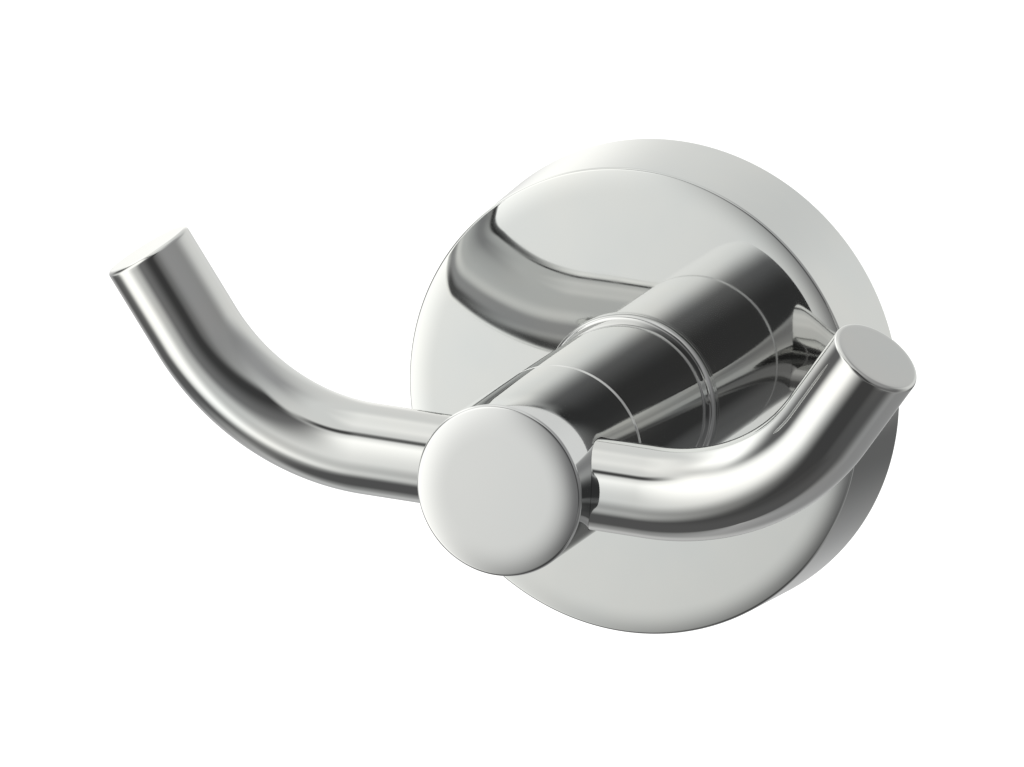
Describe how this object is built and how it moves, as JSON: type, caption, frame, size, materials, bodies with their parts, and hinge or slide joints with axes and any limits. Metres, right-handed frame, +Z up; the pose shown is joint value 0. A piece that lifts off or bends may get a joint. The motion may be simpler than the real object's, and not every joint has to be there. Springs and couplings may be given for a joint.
{
  "type": "double robe hook",
  "caption": "Wall-mounted double robe hook: a round mirror rose and a short post carry a head with an upturned arm on each side.",
  "frame": {"origin": "middle of the back of the rose and its wall bracket, on the wall, midway between the two wall screw slots", "axes": "+Z up, +Y into the wall along the post's axis, +X to the right arm as seen from the room"},
  "size_m": [0.0923, 0.0513, 0.055],
  "materials": {
    "polished_chrome": "mirror-polished chrome plate",
    "zinc_plated_steel": "bright zinc plate, satin",
    "stainless_steel": "plain, as machined"
  },
  "bodies": {
    "root": {"rose": "polished_chrome", "foot_ring": "polished_chrome", "post": "polished_chrome", "head": "polished_chrome", "left_arm": "polished_chrome", "right_arm": "polished_chrome", "tie_screw": "zinc_plated_steel", "spring_washer": "zinc_plated_steel", "plain_washer": "zinc_plated_steel", "wall_bracket": "zinc_plated_steel", "grub_screw": "stainless_steel"}
  },
  "joints": []
}
